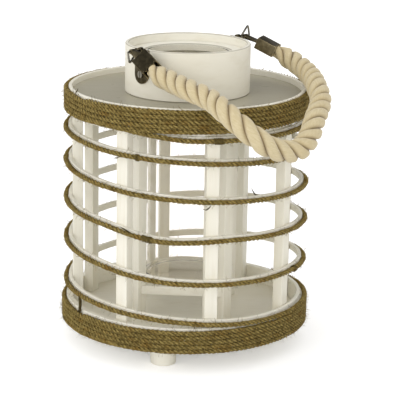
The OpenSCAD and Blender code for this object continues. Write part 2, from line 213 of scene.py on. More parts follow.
def ranged(tree, value, to_min, to_max, from_min=0.0, from_max=1.0):
    """A value mapped from one range to another."""
    limits = {"From Min": from_min, "From Max": from_max, "To Min": to_min, "To Max": to_max}
    return field(tree, "ShaderNodeMapRange", {"Value": value} | limits)


def add_inputs(tree, inputs):
    """Gives a node group its named inputs, each with its kind and default."""
    for label, kind, value in inputs:
        made = tree.interface.new_socket(label, in_out="INPUT", socket_type="NodeSocket" + kind)
        if value is not None:
            made.default_value = value


def new_object(name, data):
    made = bpy.data.objects.new(name, data)
    bpy.context.scene.collection.objects.link(made)
    return made


def settled(obj):
    """Turns an object's evaluated result into a plain mesh object of the same name, without modifiers."""
    bpy.context.view_layer.update()
    graph = bpy.context.evaluated_depsgraph_get()
    mesh = bpy.data.meshes.new_from_object(obj.evaluated_get(graph), depsgraph=graph)
    name = obj.name
    old = obj.data
    bpy.data.objects.remove(obj)
    if old.users == 0:
        (bpy.data.curves if isinstance(old, bpy.types.Curve) else bpy.data.meshes).remove(old)
    mesh.name = name
    return new_object(name, mesh)


def finish_piece(obj, body, coat=None, nodes=()):
    """Gives a piece its material and body, and hides the CAD nodes it stands for."""
    if coat is not None:
        obj.data.materials.clear()
        obj.data.materials.append(coat)
    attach(obj, body)
    if nodes:
        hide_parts(*nodes)
    return obj


def mesh_object(name, points, faces, flat=False):
    mesh = bpy.data.meshes.new(name)
    mesh.from_pydata([tuple(p) for p in points], [], faces)
    mesh.validate()
    mesh.update()
    if not flat:
        mesh.shade_smooth()
    return new_object(name, mesh)


def point_outwards(obj):
    """Recalculates a closed mesh's normals so that they face outwards."""
    work = bmesh.new()
    work.from_mesh(obj.data)
    bmesh.ops.recalc_face_normals(work, faces=work.faces)
    work.to_mesh(obj.data)
    work.free()
    return obj


def even_shading(obj):
    """Keeps flat faces flat beside rounded edges, by weighting normals with the faces' areas."""
    weighted = obj.modifiers.new("weighted", "WEIGHTED_NORMAL")
    weighted.keep_sharp = True
    return settled(obj)


def loft(name, rings):
    """Joins rings of points into a tube that is capped at both ends."""
    count = len(rings[0])
    points = [p for ring in rings for p in ring]
    faces = []
    for i in range(len(rings) - 1):
        a, b = i * count, (i + 1) * count
        for j in range(count):
            k = (j + 1) % count
            faces.append((a + j, a + k, b + k, b + j))
    faces.append(tuple(reversed(range(count))))
    faces.append(tuple(range(len(points) - count, len(points))))
    return point_outwards(mesh_object(name, points, faces))


def rounded(outline, radius, steps=3, sharp=()):
    """Rounds the corners of a closed outline with arcs. Corners listed in sharp stay as they are."""
    made = []
    for i, corner in enumerate(outline):
        here = Vector(corner)
        if i in sharp:
            made.append(here)
            continue
        before = Vector(outline[i - 1]) - here
        after = Vector(outline[(i + 1) % len(outline)]) - here
        half = before.angle(after) / 2
        cut = min(radius / math.tan(half), before.length / 2.01, after.length / 2.01)
        start = here + before.normalized() * cut
        end = here + after.normalized() * cut
        for k in range(steps + 1):
            t = k / steps
            made.append(start * (1 - t) ** 2 + here * 2 * t * (1 - t) + end * t * t)
    return made


AROUND = 160


def turned(name, outline, radius, steps=3, solid=False, around=AROUND, centre=(0, 0)):
    """A turned piece: an outline of (radius, height) pairs, with rounded corners, spun round the vertical.
    A solid piece's outline starts and ends on the axis."""
    ends = {0, len(outline) - 1} if solid else ()
    section = rounded(outline, radius, steps, sharp=ends)
    rows = section[1:-1] if solid else section
    points = []
    for k in range(around):
        a = math.tau * k / around
        for p in rows:
            points.append((centre[0] + p.x * math.cos(a), centre[1] + p.x * math.sin(a), p.y))
    count = len(rows)
    faces = []
    for k in range(around):
        a, b = k * count, (k + 1) % around * count
        for j in range(count - 1 if solid else count):
            n = (j + 1) % count
            faces.append((a + j, b + j, b + n, a + n))
    if solid:
        bottom, top = len(points), len(points) + 1
        points += [(*centre, section[0].y), (*centre, section[-1].y)]
        for k in range(around):
            a, b = k * count, (k + 1) % around * count
            faces.append((bottom, b, a))
            faces.append((top, a + count - 1, b + count - 1))
    return even_shading(point_outwards(mesh_object(name, points, faces)))


def softened(name, node, width):
    """A copy of a CAD node with its edges rounded."""
    mesh = frame["nodes"][node].data.copy()
    work = bmesh.new()
    work.from_mesh(mesh)
    bmesh.ops.remove_doubles(work, verts=work.verts, dist=0.002 * MM)
    bmesh.ops.dissolve_limit(work, angle_limit=math.radians(0.6), verts=work.verts, edges=work.edges)
    for face in work.faces:
        face.smooth = True
    work.to_mesh(mesh)
    work.free()
    obj = new_object(name, mesh)
    bevel = obj.modifiers.new("edge", "BEVEL")
    bevel.width = width
    bevel.segments = 2
    bevel.limit_method = "ANGLE"
    bevel.angle_limit = math.radians(28)
    bevel.harden_normals = True
    bevel.use_clamp_overlap = True
    return settled(obj)


# --- Geometry Nodes ---


def tree_with(name, inputs):
    """A Geometry Nodes tree with a geometry input and output and the named inputs."""
    tree = bpy.data.node_groups.new(name, "GeometryNodeTree")
    tree.is_modifier = True
    tree.interface.new_socket("Geometry", in_out="INPUT", socket_type="NodeSocketGeometry")
    add_inputs(tree, inputs)
    tree.interface.new_socket("Geometry", in_out="OUTPUT", socket_type="NodeSocketGeometry")
    return tree, put(tree, "NodeGroupInput").outputs


def end_tree(tree, geometry, coat):
    """Realizes the result, gives it its material and sends it out."""
    solid = field(tree, "GeometryNodeRealizeInstances", {0: geometry})
    coated = field(tree, "GeometryNodeSetMaterial", {"Geometry": solid, "Material": coat})
    put(tree, "NodeGroupOutput", {0: coated})


def captured(tree, geometry, kind, value):
    """Captures a field on a geometry's points. Returns the geometry and the captured field."""
    node = put(tree, "GeometryNodeCaptureAttribute", domain="POINT")
    node.capture_items.new(kind, "Value")
    tree.links.new(geometry, node.inputs[0])
    tree.links.new(value, node.inputs[1])
    return node.outputs[0], node.outputs[1]


def stored(tree, geometry, name, kind, value):
    """Keeps a field on the points as a named attribute."""
    values = {"Geometry": geometry, "Name": name, "Value": value}
    return field(tree, "GeometryNodeStoreNamedAttribute", values, data_type=kind, domain="POINT")


def laid_cord_tree():
    """Sweeps a section of rounded strands along each path and turns it, so that the strands are laid up."""
    tree, given = tree_with(
        "Laid cord",
        [
            ("Radius", "Float", 2.25 * MM),
            ("Strands", "Int", 3),
            ("Groove Depth", "Float", 0.42),
            ("Groove Sharpness", "Float", 2.0),
            ("Lay Length", "Float", 9.5 * MM),
            ("Points Around", "Int", 18),
            ("Step", "Float", 1 * MM),
            ("Slub", "Float", 0.1),
            ("Wobble", "Float", 0.2 * MM),
            ("Wobble Scale", "Float", 60.0),
            ("Seed", "Int", 0),
            ("End Share", "Float", 1.0),
            ("End Length", "Float", 10 * MM),
            ("Level", "Bool", True),
            ("Material", "Material", None),
        ],
    )
    # the path: even steps, a slight wander and an end taper
    even = field(
        tree,
        "GeometryNodeResampleCurve",
        {"Curve": given["Geometry"], "Length": given["Step"]},
        mode="LENGTH",
    )
    place = field(tree, "GeometryNodeInputPosition")
    noise = put(
        tree,
        "ShaderNodeTexNoise",
        {"Vector": place, "W": given["Seed"], "Scale": given["Wobble Scale"], "Detail": 1.0},
        noise_dimensions="4D",
    )
    middle = field(
        tree, "ShaderNodeVectorMath", {0: noise.outputs["Color"], 1: (0.5, 0.5, 0.5)}, operation="SUBTRACT"
    )
    wander = field(tree, "ShaderNodeVectorMath", {0: middle, "Scale": given["Wobble"]}, operation="SCALE")
    moved = field(tree, "GeometryNodeSetPosition", {"Geometry": even, "Offset": wander})
    level = field(tree, "GeometryNodeSetCurveNormal", {"Curve": moved}, mode="Z_UP")
    free = field(tree, "GeometryNodeSetCurveNormal", {"Curve": moved}, mode="MINIMUM_TWIST")
    framed = field(
        tree,
        "GeometryNodeSwitch",
        {"Switch": given["Level"], "False": free, "True": level},
        input_type="GEOMETRY",
    )
    parameter = put(tree, "GeometryNodeSplineParameter")
    path, along = captured(tree, framed, "FLOAT", parameter.outputs["Length"])
    lay_turns = maths(tree, "DIVIDE", along, given["Lay Length"])
    lay_angle = times(tree, lay_turns, math.tau)
    tilted = field(tree, "GeometryNodeSetCurveTilt", {"Curve": path, "Tilt": lay_angle})
    total = put(tree, "GeometryNodeSplineLength").outputs["Length"]
    to_end = maths(tree, "SUBTRACT", total, along)
    nearest = maths(tree, "MINIMUM", along, to_end)
    taper = field(
        tree,
        "ShaderNodeMapRange",
        {"Value": nearest, "From Max": given["End Length"], "To Min": given["End Share"], "To Max": 1.0},
        interpolation_type="SMOOTHSTEP",
    )
    slub_place = maths(tree, "ADD", along, given["Seed"])
    slub_values = {"W": slub_place, "Scale": 110.0}
    slubs = field(tree, "ShaderNodeTexNoise", slub_values, noise_dimensions="1D")
    swell = maths(
        tree, "MULTIPLY_ADD", maths(tree, "SUBTRACT", slubs, 0.5), times(tree, given["Slub"], 2.0), 1.0
    )
    girth = times(tree, taper, swell)
    sized = field(tree, "GeometryNodeSetCurveRadius", {"Curve": tilted, "Radius": girth})
    # the section: one rounded lobe for each strand, with a groove between
    ring = field(
        tree, "GeometryNodeCurvePrimitiveCircle", {"Resolution": given["Points Around"], "Radius": 1.0}
    )
    index = field(tree, "GeometryNodeInputIndex")
    share = maths(tree, "DIVIDE", index, given["Points Around"])
    lobe = maths(tree, "FRACT", times(tree, share, given["Strands"]))
    off_crest = maths(tree, "ABSOLUTE", maths(tree, "MULTIPLY_ADD", lobe, 2.0, -1.0))
    groove = maths(tree, "POWER", off_crest, given["Groove Sharpness"])
    ring_with, groove_kept = captured(tree, ring, "FLOAT", groove)
    ring_full, angle_kept = captured(tree, ring_with, "FLOAT", times(tree, share, math.tau))
    dip = times(tree, groove_kept, given["Groove Depth"])
    reach = times(tree, maths(tree, "SUBTRACT", 1.0, dip), given["Radius"])
    shaped = field(tree, "ShaderNodeVectorMath", {0: place, "Scale": reach}, operation="SCALE")
    section = field(tree, "GeometryNodeSetPosition", {"Geometry": ring_full, "Position": shaped})
    swept = put(
        tree,
        "GeometryNodeCurveToMesh",
        {"Curve": sized, "Profile Curve": section, "Fill Caps": True},
    )
    tree.links.new(girth, swept.inputs["Scale"])
    # where each point lies in the cord: across it, and along it
    bearing = maths(tree, "ADD", angle_kept, lay_angle)
    across = times(tree, maths(tree, "COSINE", bearing), given["Radius"])
    upward = times(tree, maths(tree, "SINE", bearing), given["Radius"])
    fibre = field(tree, "ShaderNodeCombineXYZ", {0: across, 1: upward, 2: along})
    with_fibre = stored(tree, swept.outputs[0], "fibre", "FLOAT_VECTOR", fibre)
    with_groove = stored(tree, with_fibre, "groove", "FLOAT", groove_kept)
    soft = field(tree, "GeometryNodeSetShadeSmooth", {"Geometry": with_groove})
    end_tree(tree, soft, given["Material"])
    return tree


def stray_fibres_tree():
    """Scatters short curved hairs over a twine, each lying nearly flat and lifting at its tip."""
    tree, given = tree_with(
        "Stray fibres",
        [
            ("Density", "Float", 12000.0),
            ("Length", "Float", 5 * MM),
            ("Lift", "Float", 0.8 * MM),
            ("Thickness", "Float", 0.09 * MM),
            ("Seed", "Int", 0),
            ("Material", "Material", None),
        ],
    )
    scattered = put(
        tree,
        "GeometryNodeDistributePointsOnFaces",
        {"Mesh": given["Geometry"], "Density": given["Density"], "Seed": given["Seed"]},
        distribute_method="RANDOM",
    )
    half = times(tree, given["Length"], 0.5)
    middle = field(tree, "ShaderNodeCombineXYZ", {0: half, 2: times(tree, given["Lift"], 0.2)})
    tip = field(
        tree, "ShaderNodeCombineXYZ", {0: given["Length"], 1: times(tree, half, 0.4), 2: given["Lift"]}
    )
    hair = field(
        tree,
        "GeometryNodeCurveQuadraticBezier",
        {"Resolution": 4, "Start": (0, 0, 0), "Middle": middle, "End": tip},
    )
    ring = field(tree, "GeometryNodeCurvePrimitiveCircle", {"Resolution": 3, "Radius": given["Thickness"]})
    strand = field(
        tree,
        "GeometryNodeCurveToMesh",
        {"Curve": hair, "Profile Curve": ring, "Fill Caps": True},
    )
    spin = field(
        tree,
        "FunctionNodeRandomValue",
        {"Min": (0, 0, 0), "Max": (0.5, 0.5, math.tau), "Seed": given["Seed"]},
        data_type="FLOAT_VECTOR",
    )
    turned_by = field(tree, "FunctionNodeEulerToRotation", {0: spin})
    lie = field(
        tree,
        "FunctionNodeRotateRotation",
        {"Rotation": scattered.outputs["Rotation"], "Rotate By": turned_by},
        rotation_space="LOCAL",
    )
    size = put(
        tree, "FunctionNodeRandomValue", {"Min": 0.5, "Max": 1.4, "Seed": given["Seed"]}, data_type="FLOAT"
    )
    size_out = next(s for s in size.outputs if s.enabled)
    placed = field(
        tree,
        "GeometryNodeInstanceOnPoints",
        {"Points": scattered.outputs["Points"], "Instance": strand, "Rotation": lie, "Scale": size_out},
    )
    end_tree(tree, placed, given["Material"])
    return tree


def made_by(tree, obj, **values):
    """Runs a Geometry Nodes tree on an object and keeps the result as a plain mesh."""
    modifier = obj.modifiers.new(tree.name, "NODES")
    modifier.node_group = tree
    labels = {i.name: i.identifier for i in tree.interface.items_tree if i.in_out == "INPUT"}
    for label, value in values.items():
        modifier[labels[label.replace("_", " ").title()]] = value
    return settled(obj)


def paths_object(name, paths):
    """A curve object with one open poly spline for each list of points."""
    curve = bpy.data.curves.new(name, "CURVE")
    curve.dimensions = "3D"
    for points in paths:
        spline = curve.splines.new("POLY")
        spline.points.add(len(points) - 1)
        for k, p in enumerate(points):
            spline.points[k].co = (*p, 1)
    return new_object(name, curve)


TREES = {}


def tree_of(maker):
    """Each tree is built once."""
    if maker not in TREES:
        TREES[maker] = maker()
    return TREES[maker]


def laid_cord(name, paths, coat, **values):
    return made_by(tree_of(laid_cord_tree), paths_object(name, paths), material=coat, **values)


def stray_fibres(name, over, coat, **values):
    copy = new_object(name, over.data.copy())
    return made_by(tree_of(stray_fibres_tree), copy, material=coat, **values)


# --- materials ---


def shader_group(name, inputs, outputs):
    tree = bpy.data.node_groups.new(name, "ShaderNodeTree")
    add_inputs(tree, inputs)
    for label, kind in outputs:
        tree.interface.new_socket(label, in_out="OUTPUT", socket_type="NodeSocket" + kind)
    return tree, put(tree, "NodeGroupInput").outputs, put(tree, "NodeGroupOutput")


def blended(tree, factor, first, second):
    """A colour Mix node's result."""
    node = put(tree, "ShaderNodeMix", data_type="RGBA")
    for key, value in ((0, factor), (6, first), (7, second)):
        if isinstance(value, bpy.types.NodeSocket):
            tree.links.new(value, node.inputs[key])
        else:
            node.inputs[key].default_value = value
    return node.outputs[2]


def ramp(tree, value, stops):
    """A colour ramp through (place, grey) stops."""
    node = put(tree, "ShaderNodeValToRGB", {0: value})
    bar = node.color_ramp
    bar.elements[0].position, bar.elements[0].color = stops[0][0], (stops[0][1],) * 3 + (1,)
    bar.elements[1].position, bar.elements[1].color = stops[-1][0], (stops[-1][1],) * 3 + (1,)
    for place, grey in stops[1:-1]:
        bar.elements.new(place).color = (grey,) * 3 + (1,)
    return node.outputs[0]


def brushed_paint_group():
    """Brush marks, soft blotches and pinholes in a coat of paint."""
    tree, given, out = shader_group(
        "Brushed paint",
        [("Vector", "Vector", None), ("Mark Scale", "Float", 300.0), ("Blotch Scale", "Float", 18.0)],
        [("Marks", "Float"), ("Blotches", "Float"), ("Height", "Float")],
    )
    marks = noise_field(tree, given["Vector"], given["Mark Scale"], 3.0)
    blotches = noise_field(tree, given["Vector"], given["Blotch Scale"], 4.0)
    height = maths(tree, "MULTIPLY_ADD", blotches, 0.6, marks)
    for label, value in (("Marks", marks), ("Blotches", blotches), ("Height", height)):
        tree.links.new(value, out.inputs[label])
    return tree


def fibre_group():
    """Streaks that follow a cord's fibres, lighter and darker hanks, and a groove mask that feeds the bump
    and the finishes' painted shade in the grooves.
    """
    tree, given, out = shader_group(
        "Cord fibres",
        [
            ("Fibre", "Vector", None),
            ("Groove", "Float", 0.0),
            ("Streak Scale", "Float", 2500.0),
            ("Hank Scale", "Float", 60.0),
        ],
        [("Streaks", "Float"), ("Hanks", "Float"), ("Groove", "Float"), ("Height", "Float")],
    )
    stretched = field(
        tree, "ShaderNodeVectorMath", {0: given["Fibre"], 1: (1, 1, 0.16)}, operation="MULTIPLY"
    )
    streaks = noise_field(tree, stretched, given["Streak Scale"], 3.0, 0.65)
    hanks = noise_field(tree, given["Fibre"], given["Hank Scale"], 3.0)
    groove = maths(tree, "POWER", given["Groove"], 1.5)
    height = maths(tree, "MULTIPLY_ADD", groove, -0.5, streaks)
    for label, value in (("Streaks", streaks), ("Hanks", hanks), ("Groove", groove), ("Height", height)):
        tree.links.new(value, out.inputs[label])
    return tree


def new_finish(name, roughness, metallic=0.0):
    """A material with a Principled shader. Returns the material, its tree and the shader."""
    made = bpy.data.materials.new(name)
    made.use_nodes = True
    tree = made.node_tree
    shader = tree.nodes["Principled BSDF"]
    shader.inputs["Roughness"].default_value = roughness
    shader.inputs["Metallic"].default_value = metallic
    return made, tree, shader


def object_vector(tree, scale):
    place = put(tree, "ShaderNodeTexCoord").outputs["Object"]
    return field(tree, "ShaderNodeMapping", {"Vector": place, "Scale": scale})


def bumped(tree, shader, height, strength, distance):
    bump = field(tree, "ShaderNodeBump", {"Height": height, "Strength": strength, "Distance": distance})
    tree.links.new(bump, shader.inputs["Normal"])


def rgba(colour, factor=1.0):
    return (colour[0] * factor, colour[1] * factor, colour[2] * factor, 1)


def shaded(colour, shares, shade=1.0):
    """A colour with a share of each channel kept."""
    return rgba([c * share for c, share in zip(colour, shares)], shade)


def edge_mask(tree, radius):
    """1 on the object's outer edges, 0 on its faces."""
    bevelled = field(tree, "ShaderNodeBevel", {"Radius": radius}, samples=8)
    plain = put(tree, "ShaderNodeNewGeometry").outputs["Normal"]
    match = put(tree, "ShaderNodeVectorMath", {0: bevelled, 1: plain}, operation="DOT_PRODUCT")
    return ramp(tree, match.outputs["Value"], [(0.86, 1), (0.985, 0)])


def cord_fibres(tree):
    """The fibre group, fed by what a laid cord's points keep."""
    group = put(tree, "ShaderNodeGroup", node_tree=tree_of(fibre_group))
    for name, label, output in (("fibre", "Fibre", "Vector"), ("groove", "Groove", "Fac")):
        kept = put(tree, "ShaderNodeAttribute", attribute_name=name)
        tree.links.new(kept.outputs[output], group.inputs[label])
    return group


def painted(name, colour, grain, marks=300.0, gloss=0.0, edge_darkening=0.0):
    """Satin paint brushed on wood. grain squeezes the brush marks, and the last argument sets how much darker
    the rounded edges are.
    """
    made, tree, shader = new_finish(name, 0.42)
    group = put(tree, "ShaderNodeGroup", node_tree=tree_of(brushed_paint_group))
    tree.links.new(object_vector(tree, grain), group.inputs["Vector"])
    group.inputs["Mark Scale"].default_value = marks
    thin = ramp(tree, group.outputs["Blotches"], [(0.35, 0), (0.68, 1)])
    base = blended(tree, thin, rgba(colour), shaded(colour, (0.93, 0.915, 0.87)))
    streak = ramp(tree, group.outputs["Marks"], [(0.3, 1), (0.5, 0)])
    faint = times(tree, streak, 0.35)
    tinted = blended(tree, faint, base, shaded(colour, (0.86, 0.83, 0.76)))
    if edge_darkening:
        # a turned piece slopes only where its edges are rounded
        normal = put(tree, "ShaderNodeTexCoord").outputs["Normal"]
        slope = put(tree, "ShaderNodeSeparateXYZ", {0: normal}).outputs["Z"]
        slope = times(tree, slope, slope)
        # the rounded edges are darkened
        second_tone = times(tree, ramp(tree, slope, [(0.02, 0), (0.12, 1), (0.7, 1), (0.95, 0)]), edge_darkening)
        tinted = blended(tree, second_tone, tinted, shaded(colour, (0.45, 0.43, 0.38)))
    tree.links.new(tinted, shader.inputs["Base Color"])
    rough = ranged(tree, group.outputs["Marks"], 0.36 - gloss, 0.56 - gloss)
    tree.links.new(rough, shader.inputs["Roughness"])
    bumped(tree, shader, group.outputs["Height"], 0.35, 0.15 * MM)
    return made


def jute_finish(name, colour, shade=1.0):
    """Jute: straw-light and dark olive streaks along the fibres, painted shade in the grooves and brown
    hanks.
    """
    made, tree, shader = new_finish(name, 0.88)
    group = cord_fibres(tree)
    light = shaded(colour, (2.5, 2.6, 3.6), shade)
    dark = shaded(colour, (0.42, 0.38, 0.25), shade)
    rust = shaded(colour, (1.05, 0.8, 0.5), shade)
    streak = ramp(tree, group.outputs["Streaks"], [(0.34, 0), (0.5, 0.4), (0.64, 1)])
    mixed = blended(tree, streak, dark, light)
    hank = ramp(tree, group.outputs["Hanks"], [(0.5, 0), (0.66, 0.75)])
    warmed = blended(tree, hank, mixed, rust)
    # matted and loose places, which don't follow the lay
    place = object_vector(tree, (1, 1, 1))
    matted = noise_field(tree, place, 230.0, 3.0, 0.7)
    fine = noise_field(tree, place, 620.0, 1.0)
    # painted shade: the grooves between the plies are darkened, more in some places than in others
    painted_groove_shade = ramp(tree, group.outputs["Groove"], [(0.03, 0), (0.3, 0.5), (0.75, 1)])
    painted_groove_shade = times(tree, painted_groove_shade, ramp(tree, fine, [(0.4, 0.2), (0.6, 1)]))
    warmed = blended(tree, times(tree, ramp(tree, matted, [(0.36, 1), (0.5, 0)]), 0.7), warmed, dark)
    warmed = blended(tree, times(tree, ramp(tree, fine, [(0.55, 0), (0.68, 1)]), 0.5), warmed, light)
    groove_shaded = blended(tree, painted_groove_shade, warmed, shaded(colour, (0.2, 0.17, 0.1)))
    tree.links.new(groove_shaded, shader.inputs["Base Color"])
    shader.inputs["Specular IOR Level"].default_value = 0.25
    bumped(tree, shader, group.outputs["Height"], 0.8, 0.35 * MM)
    return made


def rope_finish(name, colour):
    """Soft cream rope: fine yarns that run along it, and shade in the grooves between its strands."""
    made, tree, shader = new_finish(name, 0.8)
    group = cord_fibres(tree)
    group.inputs["Streak Scale"].default_value = 1300.0
    group.inputs["Hank Scale"].default_value = 45.0
    streak = ramp(tree, group.outputs["Streaks"], [(0.3, 0), (0.7, 1)])
    yarns = blended(tree, streak, shaded(colour, (0.86, 0.83, 0.74)), rgba(colour, 1.06))
    hank = times(tree, ramp(tree, group.outputs["Hanks"], [(0.4, 0), (0.7, 1)]), 0.5)
    toned = blended(tree, hank, yarns, shaded(colour, (0.93, 0.87, 0.74)))
    # painted shade in the grooves between the strands
    painted_groove_shade = maths(tree, "POWER", group.outputs["Groove"], 1.1)
    groove_shaded = blended(tree, painted_groove_shade, toned, shaded(colour, (0.42, 0.34, 0.24)))
    tree.links.new(groove_shaded, shader.inputs["Base Color"])
    shader.inputs["Specular IOR Level"].default_value = 0.2
    shader.inputs["Sheen Weight"].default_value = 0.25
    bumped(tree, shader, group.outputs["Height"], 0.5, 0.5 * MM)
    return made


# painted highlight: this brass colour is laid along the metal's edges, over this width
PAINTED_EDGE_HIGHLIGHT = (0.8, 0.66, 0.38, 1)
HIGHLIGHT_EDGE_RADIUS = 0.8 * MM


def metal_finish(name, colour, roughness, edge_highlight=0.85):
    """Scratched, worn plated steel, with a brass-coloured painted highlight along its edges, whose strength
    is the last argument.
    """
    made, tree, shader = new_finish(name, roughness, 1.0)
    place = object_vector(tree, (1, 1, 1))
    wear = noise_field(tree, place, 260.0, 5.0)
    second_tone = ramp(tree, wear, [(0.42, 0), (0.7, 1)])
    tone = blended(tree, second_tone, rgba(colour), rgba(colour, 1.7))
    # painted highlight along the edges
    edge_highlight_mask = times(tree, edge_mask(tree, HIGHLIGHT_EDGE_RADIUS), edge_highlight)
    tone = blended(tree, edge_highlight_mask, tone, PAINTED_EDGE_HIGHLIGHT)
    tree.links.new(tone, shader.inputs["Base Color"])
    rough = ranged(tree, wear, roughness - 0.1, roughness + 0.16)
    tree.links.new(rough, shader.inputs["Roughness"])
    scratch = noise_field(tree, object_vector(tree, (1, 1, 9)), 900.0)
    bumped(tree, shader, scratch, 0.2, 0.05 * MM)
    return made


def glass_finish(name):
    """Clear pressed glass with faint waves."""
    made, tree, shader = new_finish(name, 0.015)
    shader.inputs["Transmission Weight"].default_value = 1.0
    shader.inputs["IOR"].default_value = 1.2
    shader.inputs["Base Color"].default_value = (0.975, 0.96, 0.94, 1)
    wave = noise_field(tree, object_vector(tree, (1, 1, 0.3)), 26.0, 1.0)
    bumped(tree, shader, wave, 0.12, 0.6 * MM)
    # light that falls through the glass on what is inside it isn't held back
    path = put(tree, "ShaderNodeLightPath")
    passes = maths(tree, "MAXIMUM", path.outputs["Is Shadow Ray"], path.outputs["Is Diffuse Ray"])
    clear = field(tree, "ShaderNodeBsdfTransparent", {"Color": (0.93, 0.93, 0.92, 1)})
    mixed = field(tree, "ShaderNodeMixShader", {0: passes, 1: shader.outputs[0], 2: clear})
    tree.links.new(mixed, tree.nodes["Material Output"].inputs["Surface"])
    return made


def bare_wood(name, colour):
    made, tree, shader = new_finish(name, 0.6)
    grain = noise_field(tree, object_vector(tree, (1, 1, 0.08)), 500.0, 3.0)
    tone = blended(tree, grain, rgba(colour, 0.75), rgba(colour, 1.15))
    tree.links.new(tone, shader.inputs["Base Color"])
    bumped(tree, shader, grain, 0.3, 0.1 * MM)
    return made


FINISHES = {}


def finish(name):
    """The lantern's materials, each built once with the panel's colours."""
    if name in FINISHES:
        return FINISHES[name]
    colours = bpy.context.scene.lantern_colours
    # painted shade: a slightly darker copy of the paint, for the floor inside the drum
    floor_shade_paint = [c * 0.97 for c in colours.paint]
    dull_metal = [c * 0.55 for c in colours.metal]
    bright_metal = shaded(colours.metal, (1.6, 1.8, 2.5))
    maker, *values = {
        "upright_paint": (painted, colours.paint, (1, 1, 0.06)),
        "level_paint": (painted, colours.paint, (0.5, 0.5, 1.6), 240.0),
        # the lid's darker paint is painted shade
        "board_paint": (painted, colours.board, (0.25, 1, 1), 220.0, 0.14),
        "floor_paint": (painted, floor_shade_paint, (0.25, 1, 1), 220.0),
        "collar_paint": (painted, colours.paint, (0.35, 0.35, 1), 160.0, 0.0, 0.75),
        "jute": (jute_finish, colours.jute),
        "dark_jute": (jute_finish, colours.jute, 0.28),
        "bound_jute": (jute_finish, colours.jute, 0.6),
        "rope": (rope_finish, colours.rope),
        "dark_nickel": (metal_finish, colours.metal, 0.34),
        "aged_nickel": (metal_finish, dull_metal, 0.4),
        "bright_nickel": (metal_finish, bright_metal, 0.3, 0.12),
        "nail_steel": (metal_finish, (0.5, 0.49, 0.46), 0.35),
        "clear_glass": (glass_finish,),
        "beech": (bare_wood, (0.55, 0.36, 0.18)),
    }[name]
    FINISHES[name] = maker(name, *values)
    return FINISHES[name]


# --- the twine's route ---


def row_height(band, level):
    """Height of a band's row, counted from the top row, 0."""
    bottom, top = low(band).z, high(band).z
    pitch = (top - bottom - TWINE_D) / (BAND_ROWS - 1)
    return top - TWINE_D / 2 - level * pitch


def raw_height(azimuth):
    """The spiral twine's height before its bends are smoothed. It starts in the top band's lowest row."""
    height = RIM_Z - lookup(TWINE_FALL, azimuth) * DRUM_H
    return min(height, row_height("top_jute_band", BAND_ROWS - 1)) if azimuth < 0 else height


def twine_height(azimuth):
    """The spiral twine's height, with its bends eased over some degrees."""
    ease = range(-9, 10, 3)
    return sum(raw_height(azimuth + d) for d in ease) / len(ease)


def twine_radius(azimuth):
    on_lath = LATH_OUT + TWINE_BED + TWINE_D / 2
    on_hoop = BASE_HOOP_OUT + HOOP_ROOM + TWINE_D / 2
    band = TOP_HOOP_OUT + TWINE_D / 2
    radius = on_lath + (on_hoop - on_lath) * lookup(ONTO_HOOP, azimuth - FULL_TURNS * TURN)
    return radius if azimuth > 0 else band + (radius - band) * smooth(1 + azimuth / 40)


def spiral_route(first, last):
    """The spiral twine's centreline, with a point for every two degrees."""
    count = int((last - first) / 2)
    azimuths = [first + (last - first) * i / count for i in range(count + 1)]
    return [azimuth_point(a, twine_radius(a), twine_height(a)) for a in azimuths]


def band_route(band, hoop_out, first, last):
    """The rows of one band as a single winding, whose rows step down in the same stretch of each turn."""
    points = []
    for a in range(first, last + 1, 2):
        rows_done, rest = divmod(a - STEP_TO, TURN)
        stepping = smooth((rest - (TURN - (STEP_TO - STEP_FROM))) / (STEP_TO - STEP_FROM))
        level = max(rows_done, 0) + (stepping if rows_done >= 0 else 0)
        level = min(level, BAND_ROWS - 1)
        points.append(azimuth_point(a, hoop_out + TWINE_D / 2, row_height(band, level)))
    return points


# --- the rope's route ---


def handle_point(along, out, up):
    """A point in the handle's frame: along the hinge, out towards the fold, up from the rim."""
    return ALONG * along + OUT * out + Vector((0, 0, RIM_Z + up))


def rope_route(steps):
    """The rope's centreline: a smooth curve through its route's points."""
    knots = [Vector(p) for p in ROUTE]
    last = len(knots) - 1
    ways = [(knots[min(i + 1, last)] - knots[max(i - 1, 0)]) / 2 for i in range(last + 1)]
    ways[0] = FRONT_WAY.normalized() * (knots[1] - knots[0]).length
    ways[last] = -REAR_WAY.normalized() * (knots[last] - knots[last - 1]).length
    made = []
    for i in range(last):
        for k in range(steps + (i == last - 1)):
            t = k / steps
            a = knots[i] * (2 * t**3 - 3 * t**2 + 1) + ways[i] * (t**3 - 2 * t**2 + t)
            b = knots[i + 1] * (3 * t**2 - 2 * t**3) + ways[i + 1] * (t**3 - t**2)
            made.append(handle_point(*(a + b)))
    return made


# --- the add-on ---


def length_property(name, description, default):
    return bpy.props.FloatProperty(name=name, description=description, default=default, unit="LENGTH")


def colour_property(name, description, default):
    return bpy.props.FloatVectorProperty(name=name, description=description, default=default, subtype="COLOR")


class LanternSizes(bpy.types.PropertyGroup):
    """Sizes of the finish that a user may change"""

    edge_radius: length_property("Edge radius", "Rounding of the wood's edges", 0.7 * MM)
    twine_lay: length_property("Twine lay", "Length of one full turn of the twine's plies", 13.5 * MM)
    twine_wander: length_property("Twine wander", "How far the wound twine strays from its row", 0.7 * MM)
    rope_lay: length_property("Rope lay", "Length of one full turn of the rope's strands", 46 * MM)
    stray_density: bpy.props.FloatProperty(
        name="Stray fibres", description="Stray fibres per square metre of twine", default=95000.0
    )


